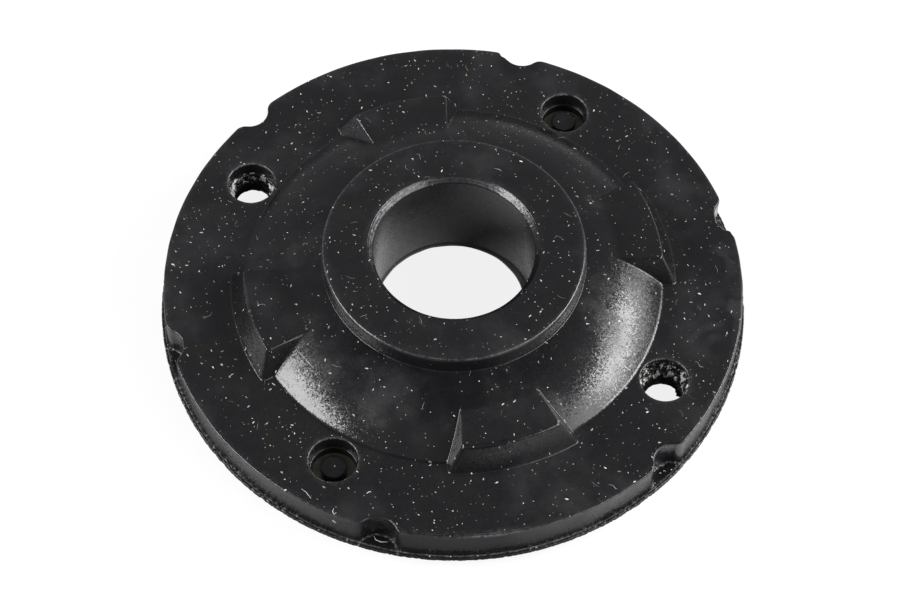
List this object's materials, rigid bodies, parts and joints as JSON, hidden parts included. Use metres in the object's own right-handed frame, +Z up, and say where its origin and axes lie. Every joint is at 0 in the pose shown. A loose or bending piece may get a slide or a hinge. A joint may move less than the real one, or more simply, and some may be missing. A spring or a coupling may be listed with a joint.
{
  "type": "radiator mount",
  "caption": "Round rubber radiator mount: a notched flange over a steel plate bonded into its underside, a lugged domed shoulder, and a boss with a through-bore.",
  "frame": {"origin": "centre of the spigot's foot, on the bore's axis, at the lowest point of the part", "axes": "+Z up the bore, from the spigot to the boss; +X through the middle of one lug and one rim notch"},
  "size_m": [0.1218, 0.1218, 0.0245],
  "materials": {
    "moulded_rubber": "satin moulded black rubber with dust",
    "coated_steel": "dull black coated steel"
  },
  "bodies": {
    "root": {"rubber_body": "moulded_rubber", "backing_plate": "coated_steel"}
  },
  "joints": []
}
